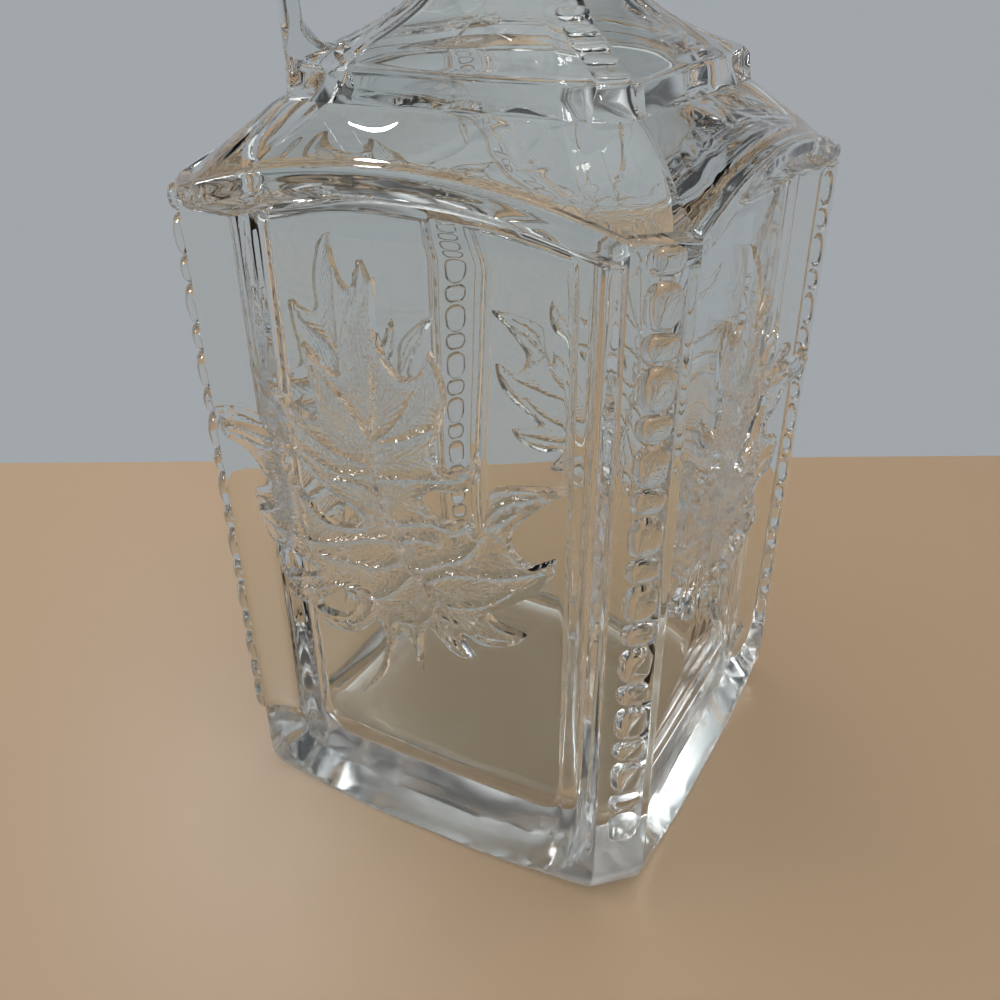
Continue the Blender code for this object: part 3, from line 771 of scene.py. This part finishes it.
def leaf_net():
    """The leaf's points and triangles on the panel's plane."""
    loops = [edge_line, *hole_lines]
    fixed = np.vstack(loops)
    edges, start = [], 0
    for loop in loops:
        count = len(loop)
        edges += [(start + i, start + (i + 1) % count) for i in range(count)]
        start += count
    extra = []
    for loop in loops:
        normal = square_to(np.roll(loop, -1, axis=0) - np.roll(loop, 1, axis=0))
        for width in (0.38, 0.8, 1.45):
            extra += [loop + normal * width, loop - normal * width]
    for line in vein_lines:
        normal = square_to(np.gradient(line, axis=0))
        extra += [line] + [line + normal * w for w in (-1.2, -0.55, 0.55, 1.2)]
    low, high = fixed.min(axis=0), fixed.max(axis=0)
    gx, gz = np.meshgrid(np.arange(low[0], high[0], 1.25), np.arange(low[1], high[1], 1.1))
    gx[1::2] += 0.6
    extra.append(np.stack((gx.ravel(), gz.ravel()), axis=1))
    kept = list(fixed)
    cells = {}
    for p in kept:
        cells.setdefault((int(p[0] // 0.5), int(p[1] // 0.5)), []).append(p)
    loose = np.vstack(extra)
    within = inside(loose, edge_line)
    for hole in hole_lines:
        within &= ~inside(loose, hole)
    within &= to_segments(loose, closed_lines)[0] > 0.3
    for p in loose[within]:
        cx, cz = int(p[0] // 0.5), int(p[1] // 0.5)
        near = [q for i in (-1, 0, 1) for j in (-1, 0, 1) for q in cells.get((cx + i, cz + j), ())]
        if all((q[0] - p[0]) ** 2 + (q[1] - p[1]) ** 2 > 0.36 ** 2 for q in near):
            kept.append(p)
            cells.setdefault((cx, cz), []).append(p)
    flat, _, triangles, _, _, _ = delaunay_2d_cdt([Vector(p) for p in kept], edges, [], 0, 1e-5)
    flat = np.array([tuple(p) for p in flat])
    triangles = np.array([tuple(t) for t in triangles])
    middle = flat[triangles].mean(axis=1)
    keep = inside(middle, edge_line)
    for hole in hole_lines:
        keep &= ~inside(middle, hole)
    triangles = triangles[keep]
    used = np.unique(triangles)
    remap = -np.ones(len(flat), dtype=int)
    remap[used] = np.arange(len(used))
    return flat[used], remap[triangles]


def rim_of(triangles):
    """The edges that belong to one triangle only, in that triangle's direction."""
    seen = dict.fromkeys(e for a, b, c in triangles.tolist() for e in ((a, b), (b, c), (c, a)))
    return [e for e in seen if (e[1], e[0]) not in seen]


net = leaf_net()
print("leaf net", len(net[0]), "points,", len(net[1]), "triangles")

# %% [markdown]
# The net is flat so far. It is laid on the panel with its heights, once more as a root inside
# the glass, and the two are closed along the rim. Where a lobe reaches the wall beside the
# post, it bends up with the wall. The other three faces get the same leaf, mirrored in turn.

# %% Leaves on the faces
SLOPE_FOOT = 37.4


def lay_on_face(flat, out):
    """Lays flat points on the -Y face, up the slope beside the post where they reach it."""
    x, z = flat[:, 0], flat[:, 1]
    past = np.abs(x) - SLOPE_FOOT
    x = np.where(past > 0.0, np.sign(x) * (SLOPE_FOOT + past * ROOT2), x)
    sunk = smooth_min(REACH - 0.3 - np.abs(x), DEPTH + PANEL_STEP, 5.0)
    lean = math.radians(45.0) * smooth_step(32.5, 41.5, np.abs(x))
    shift_x = -np.sign(x) * np.sin(lean) * out
    shift_y = -np.cos(lean) * out
    return np.stack((x + shift_x, -(HALF - sunk) + shift_y, z), axis=1)


def leaf_solids():
    """Four leaves with roots in the glass; neighbours mirror each other."""
    flat, triangles = net
    top = lay_on_face(flat, leaf_height(flat))
    root = lay_on_face(flat, np.full(len(flat), -LEAF_ROOT))
    rim = rim_of(triangles)
    count = len(flat)
    verts, faces = [], []
    for quarter, (cos, sin) in enumerate(TURNS):
        side = 1.0 if quarter % 2 == 0 else -1.0
        both = np.vstack((top, root))
        both[:, 0] *= side
        turned = np.stack((cos * both[:, 0] - sin * both[:, 1], sin * both[:, 0] + cos * both[:, 1],
                           both[:, 2]), axis=1)
        base = len(verts)
        verts += taper(turned).tolist()
        block = [tuple(t) for t in triangles.tolist()]
        block += [(c + count, b + count, a + count) for a, b, c in triangles.tolist()]
        block += [(b, a, a + count, b + count) for a, b in rim]
        if side < 0:
            block = [tuple(reversed(f)) for f in block]
        faces += [tuple(base + i for i in f) for f in block]
    return mesh_object("leaves", verts, faces)


leaves = leaf_solids()
print("leaves", len(leaves.data.polygons), "faces")

# %% [markdown]
# The handle is a strap drawn out of the collar's corner and bent back to the neck. It is
# lofted along one smooth line in the upright plane through that corner.

# %% Handle
HANDLE_LINE = ((43.2, 153.9), (44.1, 160.5), (44.5, 168.0), (44.7, 176.0), (43.6, 185.0), (39.4, 193.6),
               (32.6, 199.0), (24.0, 201.0), (17.0, 200.6), (12.9, 200.0))


def strap(line, thick, wide, sides, step):
    """A rounded strap along a line in the handle's plane (distance from the axis, height)."""
    path = smooth_loop(line, step, closed=False)
    ahead = np.gradient(path, axis=0)
    ahead /= np.linalg.norm(ahead, axis=1)[:, None]
    rings = []
    for i, (centre, way) in enumerate(zip(path, ahead)):
        share = i / (len(path) - 1)
        root = max(0.0, 1.0 - 6.0 * share) ** 2
        end = max(0.0, 6.0 * share - 5.0) ** 2
        half_thick = 0.5 * thick * (1.0 + 0.5 * root + 0.35 * end)
        half_wide = 0.5 * wide * (1.0 + 0.12 * root + 0.12 * end)
        ring_points = []
        for k in range(sides):
            angle = 2.0 * math.pi * k / sides
            cos, sin = math.cos(angle), math.sin(angle)
            t = half_thick * math.copysign(abs(cos) ** 0.75, cos)
            w = half_wide * math.copysign(abs(sin) ** 0.75, sin)
            reach = centre[0] + way[1] * t
            z = centre[1] - way[0] * t
            ring_points.append((-(reach + w) * ROOT2, -(reach - w) * ROOT2, z))
        rings.append(np.array(ring_points))
    return rings


handle = loft("handle", strap(HANDLE_LINE, 3.9, 9.0, 28, 1.6))
print("handle", len(handle.data.polygons), "faces")

# %% [markdown]
# A strap that is pressed on soft fills the corner between itself and the flare. That corner is
# a block of its own: its top edge is drawn as the lower end of the opening, and slices of it
# are lofted across the strap's width with the outer ones a little lower, to round the edges.

# %% Web at the handle's foot
WEB_TOP = ((44.6, 170.5), (43.9, 169.2), (43.2, 167.2), (42.3, 165.1), (40.7, 163.5), (38.4, 162.7),
           (36.0, 162.5), (33.0, 162.6))


def web():
    """The glass that fills the corner between strap and flare, hollowed to a U on top."""
    crest = smooth_loop(WEB_TOP, 0.9, closed=False)
    foot = np.array(((33.0, 156.0), (44.6, 156.0)))
    slices = []
    for across, drop in ((-4.1, 1.3), (-3.8, 0.55), (-3.1, 0.15), (-2.0, 0.0), (2.0, 0.0), (3.1, 0.15),
                         (3.8, 0.55), (4.1, 1.3)):
        top = crest.copy()
        top[:, 1] -= drop
        outline = np.vstack((top, foot))
        slices.append(np.stack((-(outline[:, 0] + across) * ROOT2, -(outline[:, 0] - across) * ROOT2,
                                outline[:, 1]), axis=1))
    return loft("handle_web", slices)


fillet = web()
print("web", len(fillet.data.polygons), "faces")

# %% [markdown]
# Solids that only overlap leave skins inside the glass, and a ray would bend at each of them.
# A Boolean union takes those inner skins away, so every piece was given a root that reaches
# into the bottle, and one body of glass is left.

# %% Join everything into one body of glass


def outward(thing):
    """Turns all faces of a closed mesh outwards."""
    bm = bmesh.new()
    bm.from_mesh(thing.data)
    bmesh.ops.recalc_face_normals(bm, faces=bm.faces)
    if bm.calc_volume(signed=True) < 0.0:
        bmesh.ops.reverse_faces(bm, faces=bm.faces)
    bm.to_mesh(thing.data)
    bm.free()


def unite(body, tool):
    """Joins a tool to the body and removes the tool."""
    outward(tool)
    step = body.modifiers.new(tool.name, "BOOLEAN")
    step.operation = "UNION"
    step.solver = "MANIFOLD"
    step.object = tool
    graph = bpy.context.evaluated_depsgraph_get()
    mesh = bpy.data.meshes.new_from_object(body.evaluated_get(graph))
    body.modifiers.remove(step)
    body.data = mesh
    bpy.data.objects.remove(tool, do_unlink=True)
    print("joined, now", len(mesh.polygons), "faces")


outward(bottle)
for piece in (columns, ladder, leaves, handle, fillet):
    unite(bottle, piece)

# %% [markdown]
# Glass shows what stands behind it, so the floor is a plain pale table top whose far edge lies
# behind the bottle, with nothing but the room beyond it. The edge is square to the camera.

# %% Table
TABLE_BEHIND = 0.150
TABLE_SIZE = 1.6
TABLE_COLOUR = (0.60, 0.41, 0.25, 1.0)


def table_top():
    """A slab whose far edge is square to the camera's heading."""
    yaw = math.radians(CAMERA_YAW)
    ahead = Vector((math.sin(yaw), math.cos(yaw), 0.0))
    side = Vector((math.cos(yaw), -math.sin(yaw), 0.0))
    verts = []
    for z in (-5e-5, -0.03):
        for across, along in ((-1, -TABLE_SIZE), (1, -TABLE_SIZE), (1, TABLE_BEHIND), (-1, TABLE_BEHIND)):
            place = side * across * TABLE_SIZE + ahead * along
            verts.append((place.x, place.y, z))
    faces = [(0, 1, 2, 3), (7, 6, 5, 4)] + [(i, i + 4, (i + 1) % 4 + 4, (i + 1) % 4) for i in range(4)]
    return mesh_object("floor", verts, faces)


floor = table_top()
floor_paint = bpy.data.materials.new("pale_floor")
floor_paint.use_nodes = True
floor_shader = floor_paint.node_tree.nodes["Principled BSDF"]
floor_shader.inputs["Base Color"].default_value = TABLE_COLOUR
floor_shader.inputs["Roughness"].default_value = 0.4
floor.data.materials.append(floor_paint)
print("table ends", TABLE_BEHIND, "m behind the bottle")

# %% [markdown]
# Three small lamps give the short bright glints on rims and bosses. The even light comes from
# the room itself, which is only a background: a pale wall beyond the table, a dim room behind
# the camera, and overhead a dark band with a light ceiling above it. Those steps between dark
# and light are what the edges of clear glass are drawn with.

# %% Lamps


def soft_light(name, place, size, power, colour):
    """A square area light that faces the bottle."""
    data = bpy.data.lights.new(name, "AREA")
    data.size = size
    data.energy = power
    data.color = colour
    lamp = bpy.data.objects.new(name, data)
    lamp.location = place
    lamp.rotation_euler = (Vector((0, 0, 0.1)) - Vector(place)).to_track_quat("-Z", "Y").to_euler()
    bpy.context.scene.collection.objects.link(lamp)


soft_light("window", (-0.78, 0.60, 1.0), 0.10, 3.0, (0.94, 0.97, 1.0))
soft_light("side", (-1.0, -0.45, 0.62), 0.22, 3.4, (1.0, 0.99, 0.97))
soft_light("ceiling", (0.55, -0.2, 1.25), 0.15, 2.0, (1.0, 0.98, 0.95))
print("three soft lamps")

# %% Room light
WALL_COLOUR = (0.36, 0.385, 0.41, 1.0)
ROOM_COLOUR = (0.075, 0.076, 0.08, 1.0)
UPPER_COLOUR = (0.05, 0.052, 0.055, 1.0)
CEILING_COLOUR = (0.85, 0.88, 0.9, 1.0)


def mix_colour(tree, share, a, b):
    """A colour between a and b."""
    return add(tree, "ShaderNodeMix", {"data_type": "RGBA"}, i0=share, i6=a, i7=b).outputs[2]


def room_light():
    """A pale wall beyond the table, a dim room behind the camera and a light ceiling."""
    world = bpy.data.worlds.new("studio")
    bpy.context.scene.world = world
    world.use_nodes = True
    tree = world.node_tree
    way = add(tree, "ShaderNodeTexCoord").outputs["Generated"]
    parts = add(tree, "ShaderNodeSeparateXYZ", i0=way).outputs
    x, y, high = (Value(tree, parts[k]) for k in range(3))
    yaw = math.radians(CAMERA_YAW)
    ahead = x * math.sin(yaw) + y * math.cos(yaw)
    wall = mix_colour(tree, ahead.step(-0.55, 0.35), ROOM_COLOUR, WALL_COLOUR)
    dim = mix_colour(tree, high.step(0.22, 0.42), wall, UPPER_COLOUR)
    whole = mix_colour(tree, high.step(0.66, 0.86), dim, CEILING_COLOUR)
    tree.links.new(whole, tree.nodes["Background"].inputs["Color"])
    tree.nodes["Background"].inputs["Strength"].default_value = 1.0


room_light()
print("room light:", bpy.context.scene.world.name)

# %% [markdown]
# Light goes in and out of the glass many times, and where its bounces run out it turns black.
# So their number is raised, while light that has met the dull table needs only one more.

# %% Light paths
scene = bpy.context.scene
scene.view_settings.view_transform = "Standard"
for name, count in {"max_bounces": 12, "glossy_bounces": 10, "transmission_bounces": 12,
                    "transparent_max_bounces": 12, "diffuse_bounces": 1}.items():
    setattr(scene.cycles, name, count)
scene.cycles.adaptive_threshold = 0.06
scene.cycles.caustics_refractive = scene.cycles.caustics_reflective = False
print("bounces", scene.cycles.max_bounces)

# %% [markdown]
# The panels' leaves are stippled and feathered with fine lines that slant away from the
# veins. That is too fine for the mesh, so every point of the glass gets two numbers, how
# deep inside a leaf it lies and its phase along the feathering, and the shader turns them
# into bumps.

# %% Leaf marks on the final skin


def mark_leaves(mesh):
    """Stores on each point how deep inside a leaf it lies, and its place along the feathering."""
    places = np.empty(len(mesh.vertices) * 3)
    mesh.vertices.foreach_get("co", places)
    places = places.reshape(-1, 3) / MM
    scale = SHRINK + (1.0 - SHRINK) * np.minimum(places[:, 2] / SHOULDER, 1.0)
    places[:, :2] /= scale[:, None]
    turn = np.arctan2(places[:, 1], places[:, 0]) + math.pi / 2
    quarter = np.round(turn / (math.pi / 2)).astype(int) % 4
    cos, sin = np.array(TURNS)[quarter].T
    across = cos * places[:, 0] + sin * places[:, 1]
    outward_by = sin * places[:, 0] - cos * places[:, 1]
    flat = np.stack((np.where(quarter % 2 == 0, across, -across), places[:, 2]), axis=1)
    past = np.maximum(np.abs(flat[:, 0]) - SLOPE_FOOT, 0.0)
    flat[:, 0] += np.sign(flat[:, 0]) * past * (1.0 / ROOT2 - 1.0)
    on_leaf = (outward_by > 43.0) & (flat[:, 1] < 132.0) & inside(flat, edge_line)
    for hole in hole_lines:
        on_leaf &= ~inside(flat, hole)
    chosen = np.flatnonzero(on_leaf)
    depth, feather = np.zeros(len(flat)), np.zeros(len(flat))
    if len(chosen):
        depth[chosen] = smooth_step(0.3, 2.0, to_segments(flat[chosen], closed_lines)[0])
        far, along = to_segments(flat[chosen], vein_lines)
        feather[chosen] = far + 0.3 * along
    for name, values in (("leaf", depth), ("feather", feather)):
        mesh.attributes.new(name, "FLOAT", "POINT").data.foreach_set("value", values)
    print("points on leaves", len(chosen))


mark_leaves(bottle.data)

# %% [markdown]
# The glass is a plain Principled shader with full transmission. All of it has the slow ripple
# of poured glass, the shoulder has a few shallow dents, and the thick base is a little duller
# and greyer than the walls. Refracted light paths can't find a lamp, so shadow rays go
# straight on through a thin tint, which keeps the glass and the table under it bright.

# %% Glass
CLEAR_TINT = (0.935, 0.955, 0.94, 1.0)
BASE_TINT = (0.89, 0.915, 0.895, 1.0)
SHADOW_TINT = (0.955, 0.965, 0.96, 1.0)
FEATHER_PITCH = 1.0
# Waves to a metre of the ripple, the stipple and the dents
SLOW_SCALE, GRAIN_SCALE, DENT_SCALE = 38.0, 900.0, 75.0
BASE_ROUGHNESS = 0.12


def clear_glass(material):
    """Clear glass with ripples, dents and stippled leaves; shadow rays pass straight on."""
    material.use_nodes = True
    tree = material.node_tree
    place = add(tree, "ShaderNodeTexCoord").outputs["Object"]
    leaf, feather = (Value(tree, add(tree, "ShaderNodeAttribute", {"attribute_name": name}).outputs["Fac"])
                     for name in ("leaf", "feather"))
    slow, grain, dents = (Value(tree, add(tree, "ShaderNodeTexNoise", Vector=place, Scale=scale,
                                          Detail=0.0).outputs["Fac"])
                          for scale in (SLOW_SCALE, GRAIN_SCALE, DENT_SCALE))
    high = Value(tree, add(tree, "ShaderNodeSeparateXYZ", i0=place).outputs["Z"])
    above = high.step(0.007, 0.014)
    shoulder = high.step(0.140, 0.144) * (1.0 - high.step(0.151, 0.155))
    lines = ((feather + slow * 3.0) * (2.0 * math.pi / FEATHER_PITCH)).sine()
    height = slow * (0.08 + above * 0.37) + leaf * (grain * 0.2 + lines * 0.035)
    height = height - shoulder * dents.step(0.58, 0.74) * 0.25
    bump = add(tree, "ShaderNodeBump", Height=height, Strength=1.0, Distance=0.001)
    shader = tree.nodes["Principled BSDF"]
    shader.inputs["Transmission Weight"].default_value = 1.0
    shader.inputs["IOR"].default_value = 1.5
    tint = mix_colour(tree, above, BASE_TINT, CLEAR_TINT)
    tree.links.new(tint, shader.inputs["Base Color"])
    rough = (1.0 - above) * BASE_ROUGHNESS
    tree.links.new(rough.socket, shader.inputs["Roughness"])
    tree.links.new(bump.outputs[0], shader.inputs["Normal"])
    clear = add(tree, "ShaderNodeBsdfTransparent", Color=SHADOW_TINT)
    path = add(tree, "ShaderNodeLightPath")
    mix = add(tree, "ShaderNodeMixShader", i0=path.outputs["Is Shadow Ray"], i1=shader.outputs[0],
              i2=clear.outputs[0])
    tree.links.new(mix.outputs[0], tree.nodes["Material Output"].inputs["Surface"])


clear_glass(glass)
bottle.data.materials.clear()
bottle.data.materials.append(glass)
bottle.data.shade_smooth()
bottle.data.set_sharp_from_angle(angle=math.radians(32))
print("glass on", len(bottle.data.polygons), "faces")

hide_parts("decanter")
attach(bottle, "root")
